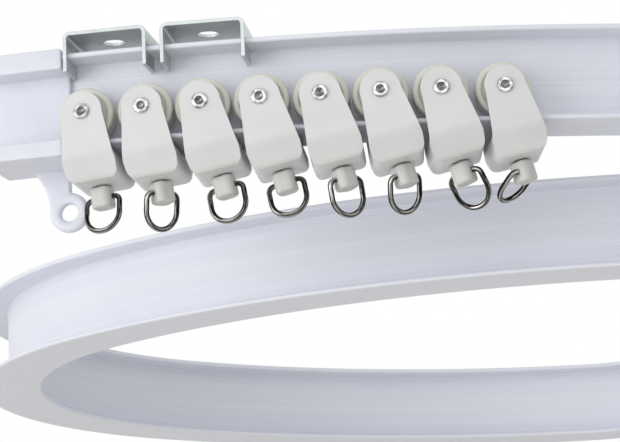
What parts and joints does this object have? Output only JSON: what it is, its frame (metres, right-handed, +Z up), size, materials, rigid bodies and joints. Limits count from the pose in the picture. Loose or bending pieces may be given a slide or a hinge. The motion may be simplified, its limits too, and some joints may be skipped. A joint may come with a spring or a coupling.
{
  "type": "flexible curtain track",
  "caption": "Bendable white I-section curtain rail coiled in a loop, with ceiling brackets, an end stop at each end and wheeled runners that carry swivelling wire rings.",
  "frame": {"origin": "middle of the first ceiling bracket's screw hole, on the face that meets the ceiling", "axes": "+Z up out of the ceiling face, +X along the rail at that bracket, away from the end stop beside it, +Y across the rail towards the middle of the loop"},
  "size_m": [0.4266, 0.3589, 0.0785],
  "materials": {
    "rail_plastic": "extruded PVC, satin, with fine lines along the web",
    "stop_plastic": "moulded, slightly translucent, smooth",
    "runner_plastic": "moulded nylon or acetal, smooth satin",
    "wheel_plastic": "moulded, a little translucent",
    "zinc_steel": "zinc-plated sheet, satin",
    "rivet_metal": "plated, polished",
    "ring_wire": "plated wire, polished"
  },
  "bodies": {
    "root": {"rail": "rail_plastic", "bracket_1": "zinc_steel"},
    "bracket_2": {"bracket_2": "zinc_steel"},
    "end_stop_left": {"end_stop_left": "stop_plastic"},
    "end_stop_right": {"end_stop_right": "stop_plastic"},
    "rivets_1": {"rivets_1": "rivet_metal"},
    "wheel_front_1": {"wheel_front_1": "wheel_plastic"},
    "wheel_back_1": {"wheel_back_1": "wheel_plastic"},
    "carriage_1": {"carriage_1": "runner_plastic"},
    "swivel_1": {"swivel_1": "runner_plastic"},
    "ring_1": {"ring_1": "ring_wire"},
    "rivets_2": {"rivets_2": "rivet_metal"},
    "wheel_front_2": {"wheel_front_2": "wheel_plastic"},
    "wheel_back_2": {"wheel_back_2": "wheel_plastic"},
    "carriage_2": {"carriage_2": "runner_plastic"},
    "swivel_2": {"swivel_2": "runner_plastic"},
    "ring_2": {"ring_2": "ring_wire"},
    "rivets_3": {"rivets_3": "rivet_metal"},
    "wheel_front_3": {"wheel_front_3": "wheel_plastic"},
    "wheel_back_3": {"wheel_back_3": "wheel_plastic"},
    "carriage_3": {"carriage_3": "runner_plastic"},
    "swivel_3": {"swivel_3": "runner_plastic"},
    "ring_3": {"ring_3": "ring_wire"},
    "rivets_4": {"rivets_4": "rivet_metal"},
    "wheel_front_4": {"wheel_front_4": "wheel_plastic"},
    "wheel_back_4": {"wheel_back_4": "wheel_plastic"},
    "carriage_4": {"carriage_4": "runner_plastic"},
    "swivel_4": {"swivel_4": "runner_plastic"},
    "ring_4": {"ring_4": "ring_wire"},
    "rivets_5": {"rivets_5": "rivet_metal"},
    "wheel_front_5": {"wheel_front_5": "wheel_plastic"},
    "wheel_back_5": {"wheel_back_5": "wheel_plastic"},
    "carriage_5": {"carriage_5": "runner_plastic"},
    "swivel_5": {"swivel_5": "runner_plastic"},
    "ring_5": {"ring_5": "ring_wire"},
    "rivets_6": {"rivets_6": "rivet_metal"},
    "wheel_front_6": {"wheel_front_6": "wheel_plastic"},
    "wheel_back_6": {"wheel_back_6": "wheel_plastic"},
    "carriage_6": {"carriage_6": "runner_plastic"},
    "swivel_6": {"swivel_6": "runner_plastic"},
    "ring_6": {"ring_6": "ring_wire"},
    "rivets_7": {"rivets_7": "rivet_metal"},
    "wheel_front_7": {"wheel_front_7": "wheel_plastic"},
    "wheel_back_7": {"wheel_back_7": "wheel_plastic"},
    "carriage_7": {"carriage_7": "runner_plastic"},
    "swivel_7": {"swivel_7": "runner_plastic"},
    "ring_7": {"ring_7": "ring_wire"},
    "rivets_8": {"rivets_8": "rivet_metal"},
    "wheel_front_8": {"wheel_front_8": "wheel_plastic"},
    "wheel_back_8": {"wheel_back_8": "wheel_plastic"},
    "carriage_8": {"carriage_8": "runner_plastic"},
    "swivel_8": {"swivel_8": "runner_plastic"},
    "ring_8": {"ring_8": "ring_wire"}
  },
  "joints": [
    {"name": "bracket_2_slide", "type": "hinge", "parent": "root", "child": "bracket_2", "pos_m": [0, 0.4072, -0.005], "axis": [0, 0, 1], "range_deg": [-0.3, 26]},
    {"name": "end_stop_left_pull_off", "type": "hinge", "parent": "root", "child": "end_stop_left", "pos_m": [0, 0.4072, -0.018], "axis": [0, 0, 1], "range_deg": [-3.4, 0]},
    {"name": "end_stop_right_pull_off", "type": "hinge", "parent": "root", "child": "end_stop_right", "pos_m": [0.09405, 0.28558, -0.048], "axis": [0, 0, 1], "range_deg": [0, 6]},
    {"name": "runner_1_travel", "type": "hinge", "parent": "root", "child": "rivets_1", "pos_m": [0, 0.4072, -0.0217], "axis": [0, 0, 1], "range_deg": [0, 3.4]},
    {"name": "wheel_front_1_spin", "type": "hinge", "parent": "rivets_1", "child": "wheel_front_1", "pos_m": [-0.006, 0.00004, -0.0217], "axis": [0.0147, 0.9999, 0], "range_deg": [-0.5, 195.3]},
    {"name": "wheel_back_1_spin", "type": "hinge", "parent": "rivets_1", "child": "wheel_back_1", "pos_m": [-0.006, 0.00004, -0.0217], "axis": [0.0147, 0.9999, 0], "range_deg": [-0.5, 190.3]},
    {"name": "runner_1_swing", "type": "hinge", "parent": "rivets_1", "child": "carriage_1", "pos_m": [-0.006, 0.00004, -0.0217], "axis": [0.0147, 0.9999, 0], "range_deg": [-3, 7]},
    {"name": "swivel_1_turn", "type": "hinge", "parent": "carriage_1", "child": "swivel_1", "pos_m": [-0.00431, 0.00002, -0.03922], "axis": [0.0958, -0.0014, -0.9954], "continuous": true},
    {"name": "ring_1_hinge", "type": "hinge", "parent": "swivel_1", "child": "ring_1", "pos_m": [-0.00403, 0.00002, -0.0422], "axis": [0.9742, -0.2052, 0.0941], "range_deg": [-35, 35]},
    {"name": "runner_2_travel", "type": "hinge", "parent": "rivets_1", "child": "rivets_2", "pos_m": [0, 0.4072, -0.0217], "axis": [0, 0, 1], "range_deg": [0, 3.4]},
    {"name": "wheel_front_2_spin", "type": "hinge", "parent": "rivets_2", "child": "wheel_front_2", "pos_m": [0.0093, 0.00011, -0.0217], "axis": [-0.0228, 0.9997, 0], "range_deg": [-0.5, 195.3]},
    {"name": "wheel_back_2_spin", "type": "hinge", "parent": "rivets_2", "child": "wheel_back_2", "pos_m": [0.0093, 0.00011, -0.0217], "axis": [-0.0228, 0.9997, 0], "range_deg": [-0.5, 190.3]},
    {"name": "runner_2_swing", "type": "hinge", "parent": "rivets_2", "child": "carriage_2", "pos_m": [0.0093, 0.00011, -0.0217], "axis": [-0.0228, 0.9997, 0], "range_deg": [-3, 7]},
    {"name": "swivel_2_turn", "type": "hinge", "parent": "carriage_2", "child": "swivel_2", "pos_m": [0.01129, 0.00015, -0.03919], "axis": [0.1132, 0.0026, -0.9936], "continuous": true},
    {"name": "ring_2_hinge", "type": "hinge", "parent": "swivel_2", "child": "ring_2", "pos_m": [0.01163, 0.00016, -0.04217], "axis": [0.6477, 0.7581, 0.0757], "range_deg": [-35, 35]},
    {"name": "runner_3_travel", "type": "hinge", "parent": "rivets_2", "child": "rivets_3", "pos_m": [0, 0.4072, -0.0217], "axis": [0, 0, 1], "range_deg": [0, 3.4]},
    {"name": "wheel_front_3_spin", "type": "hinge", "parent": "rivets_3", "child": "wheel_front_3", "pos_m": [0.02399, 0.00071, -0.0217], "axis": [-0.0589, 0.9983, 0], "range_deg": [-0.5, 195.3]},
    {"name": "wheel_back_3_spin", "type": "hinge", "parent": "rivets_3", "child": "wheel_back_3", "pos_m": [0.02399, 0.00071, -0.0217], "axis": [-0.0589, 0.9983, 0], "range_deg": [-0.5, 190.3]},
    {"name": "runner_3_swing", "type": "hinge", "parent": "rivets_3", "child": "carriage_3", "pos_m": [0.02399, 0.00071, -0.0217], "axis": [-0.0589, 0.9983, 0], "range_deg": [-3, 7]},
    {"name": "swivel_3_turn", "type": "hinge", "parent": "carriage_3", "child": "swivel_3", "pos_m": [0.02749, 0.00091, -0.03895], "axis": [0.199, 0.0117, -0.9799], "continuous": true},
    {"name": "ring_3_hinge", "type": "hinge", "parent": "swivel_3", "child": "ring_3", "pos_m": [0.02809, 0.00095, -0.04189], "axis": [0.9691, -0.1511, 0.195], "range_deg": [-35, 35]},
    {"name": "runner_4_travel", "type": "hinge", "parent": "rivets_3", "child": "rivets_4", "pos_m": [0, 0.4072, -0.0217], "axis": [0, 0, 1], "range_deg": [0, 3.4]},
    {"name": "wheel_front_4_spin", "type": "hinge", "parent": "rivets_4", "child": "wheel_front_4", "pos_m": [0.03884, 0.00186, -0.0217], "axis": [-0.0954, 0.9954, 0], "range_deg": [-0.5, 195.3]},
    {"name": "wheel_back_4_spin", "type": "hinge", "parent": "rivets_4", "child": "wheel_back_4", "pos_m": [0.03884, 0.00186, -0.0217], "axis": [-0.0954, 0.9954, 0], "range_deg": [-0.5, 190.3]},
    {"name": "runner_4_swing", "type": "hinge", "parent": "rivets_4", "child": "carriage_4", "pos_m": [0.03884, 0.00186, -0.0217], "axis": [-0.0954, 0.9954, 0], "range_deg": [-3, 7]},
    {"name": "swivel_4_turn", "type": "hinge", "parent": "carriage_4", "child": "swivel_4", "pos_m": [0.04278, 0.00223, -0.03885], "axis": [0.2239, 0.0215, -0.9744], "continuous": true},
    {"name": "ring_4_hinge", "type": "hinge", "parent": "swivel_4", "child": "ring_4", "pos_m": [0.04345, 0.0023, -0.04177], "axis": [0.9738, -0.0465, 0.2228], "range_deg": [-35, 35]},
    {"name": "runner_5_travel", "type": "hinge", "parent": "rivets_4", "child": "rivets_5", "pos_m": [0, 0.4072, -0.0217], "axis": [0, 0, 1], "range_deg": [0, 3.4]},
    {"name": "wheel_front_5_spin", "type": "hinge", "parent": "rivets_5", "child": "wheel_front_5", "pos_m": [0.05374, 0.00356, -0.0217], "axis": [-0.132, 0.9913, 0], "range_deg": [-0.5, 195.3]},
    {"name": "wheel_back_5_spin", "type": "hinge", "parent": "rivets_5", "child": "wheel_back_5", "pos_m": [0.05374, 0.00356, -0.0217], "axis": [-0.132, 0.9913, 0], "range_deg": [-0.5, 190.3]},
    {"name": "runner_5_swing", "type": "hinge", "parent": "rivets_5", "child": "carriage_5", "pos_m": [0.05374, 0.00356, -0.0217], "axis": [-0.132, 0.9913, 0], "range_deg": [-3, 7]},
    {"name": "swivel_5_turn", "type": "hinge", "parent": "carriage_5", "child": "swivel_5", "pos_m": [0.05781, 0.0041, -0.03881], "axis": [0.2314, 0.0308, -0.9724], "continuous": true},
    {"name": "ring_5_hinge", "type": "hinge", "parent": "swivel_5", "child": "ring_5", "pos_m": [0.05851, 0.0042, -0.04173], "axis": [0.7139, 0.6737, 0.1912], "range_deg": [-35, 35]},
    {"name": "runner_6_travel", "type": "hinge", "parent": "rivets_5", "child": "rivets_6", "pos_m": [0, 0.4072, -0.0217], "axis": [0, 0, 1], "range_deg": [0, 3.4]},
    {"name": "wheel_front_6_spin", "type": "hinge", "parent": "rivets_6", "child": "wheel_front_6", "pos_m": [0.06847, 0.0058, -0.0217], "axis": [-0.1682, 0.9858, 0], "range_deg": [-0.5, 195.3]},
    {"name": "wheel_back_6_spin", "type": "hinge", "parent": "rivets_6", "child": "wheel_back_6", "pos_m": [0.06847, 0.0058, -0.0217], "axis": [-0.1682, 0.9858, 0], "range_deg": [-0.5, 190.3]},
    {"name": "runner_6_swing", "type": "hinge", "parent": "rivets_6", "child": "carriage_6", "pos_m": [0.06847, 0.0058, -0.0217], "axis": [-0.1682, 0.9858, 0], "range_deg": [-3, 7]},
    {"name": "swivel_6_turn", "type": "hinge", "parent": "carriage_6", "child": "swivel_6", "pos_m": [0.07282, 0.00654, -0.03874], "axis": [0.2468, 0.0421, -0.9681], "continuous": true},
    {"name": "ring_6_hinge", "type": "hinge", "parent": "swivel_6", "child": "ring_6", "pos_m": [0.07356, 0.00667, -0.04164], "axis": [0.6733, 0.7111, 0.2026], "range_deg": [-60, 10]},
    {"name": "runner_7_travel", "type": "hinge", "parent": "rivets_6", "child": "rivets_7", "pos_m": [0, 0.4072, -0.0217], "axis": [0, 0, 1], "range_deg": [0, 3.4]},
    {"name": "wheel_front_7_spin", "type": "hinge", "parent": "rivets_7", "child": "wheel_front_7", "pos_m": [0.08321, 0.00859, -0.0217], "axis": [-0.2043, 0.9789, 0], "range_deg": [-0.5, 195.3]},
    {"name": "wheel_back_7_spin", "type": "hinge", "parent": "rivets_7", "child": "wheel_back_7", "pos_m": [0.08321, 0.00859, -0.0217], "axis": [-0.2043, 0.9789, 0], "range_deg": [-0.5, 190.3]},
    {"name": "runner_7_swing", "type": "hinge", "parent": "rivets_7", "child": "carriage_7", "pos_m": [0.08321, 0.00859, -0.0217], "axis": [-0.2043, 0.9789, 0], "range_deg": [-3, 7]},
    {"name": "swivel_7_turn", "type": "hinge", "parent": "carriage_7", "child": "swivel_7", "pos_m": [0.08752, 0.00949, -0.03874], "axis": [0.2451, 0.0512, -0.9681], "continuous": true},
    {"name": "ring_7_hinge", "type": "hinge", "parent": "swivel_7", "child": "ring_7", "pos_m": [0.08826, 0.00965, -0.04164], "axis": [0.8726, -0.4468, 0.1973], "range_deg": [-35, 35]},
    {"name": "runner_8_travel", "type": "hinge", "parent": "rivets_7", "child": "rivets_8", "pos_m": [0, 0.4072, -0.0217], "axis": [0, 0, 1], "range_deg": [0, 3.4]},
    {"name": "wheel_front_8_spin", "type": "hinge", "parent": "rivets_8", "child": "wheel_front_8", "pos_m": [0.09851, 0.0121, -0.0217], "axis": [-0.2419, 0.9703, 0], "range_deg": [-0.5, 195.3]},
    {"name": "wheel_back_8_spin", "type": "hinge", "parent": "rivets_8", "child": "wheel_back_8", "pos_m": [0.09851, 0.0121, -0.0217], "axis": [-0.2419, 0.9703, 0], "range_deg": [-0.5, 190.3]},
    {"name": "runner_8_swing", "type": "hinge", "parent": "rivets_8", "child": "carriage_8", "pos_m": [0.09851, 0.0121, -0.0217], "axis": [-0.2419, 0.9703, 0], "range_deg": [-3, 7]},
    {"name": "swivel_8_turn", "type": "hinge", "parent": "carriage_8", "child": "swivel_8", "pos_m": [0.1025, 0.01309, -0.03881], "axis": [0.2265, 0.0565, -0.9724], "continuous": true},
    {"name": "ring_8_hinge", "type": "hinge", "parent": "swivel_8", "child": "ring_8", "pos_m": [0.10318, 0.01326, -0.04173], "axis": [0.4665, 0.8701, 0.1592], "range_deg": [-60, 10]}
  ],
  "couplings": [
    {"joint": "wheel_front_1_spin", "follows": "runner_1_travel", "ratio": 57.292},
    {"joint": "wheel_back_1_spin", "follows": "runner_1_travel", "ratio": 55.819},
    {"joint": "wheel_front_2_spin", "follows": "runner_2_travel", "ratio": 57.292},
    {"joint": "wheel_back_2_spin", "follows": "runner_2_travel", "ratio": 55.819},
    {"joint": "runner_2_swing", "follows": "runner_1_swing", "ratio": 1},
    {"joint": "wheel_front_3_spin", "follows": "runner_3_travel", "ratio": 57.292},
    {"joint": "wheel_back_3_spin", "follows": "runner_3_travel", "ratio": 55.819},
    {"joint": "runner_3_swing", "follows": "runner_1_swing", "ratio": 1},
    {"joint": "wheel_front_4_spin", "follows": "runner_4_travel", "ratio": 57.292},
    {"joint": "wheel_back_4_spin", "follows": "runner_4_travel", "ratio": 55.819},
    {"joint": "runner_4_swing", "follows": "runner_1_swing", "ratio": 1},
    {"joint": "wheel_front_5_spin", "follows": "runner_5_travel", "ratio": 57.292},
    {"joint": "wheel_back_5_spin", "follows": "runner_5_travel", "ratio": 55.819},
    {"joint": "runner_5_swing", "follows": "runner_1_swing", "ratio": 1},
    {"joint": "wheel_front_6_spin", "follows": "runner_6_travel", "ratio": 57.292},
    {"joint": "wheel_back_6_spin", "follows": "runner_6_travel", "ratio": 55.819},
    {"joint": "runner_6_swing", "follows": "runner_1_swing", "ratio": 1},
    {"joint": "wheel_front_7_spin", "follows": "runner_7_travel", "ratio": 57.292},
    {"joint": "wheel_back_7_spin", "follows": "runner_7_travel", "ratio": 55.819},
    {"joint": "runner_7_swing", "follows": "runner_1_swing", "ratio": 1},
    {"joint": "wheel_front_8_spin", "follows": "runner_8_travel", "ratio": 57.292},
    {"joint": "wheel_back_8_spin", "follows": "runner_8_travel", "ratio": 55.819},
    {"joint": "runner_8_swing", "follows": "runner_1_swing", "ratio": 1}
  ]
}
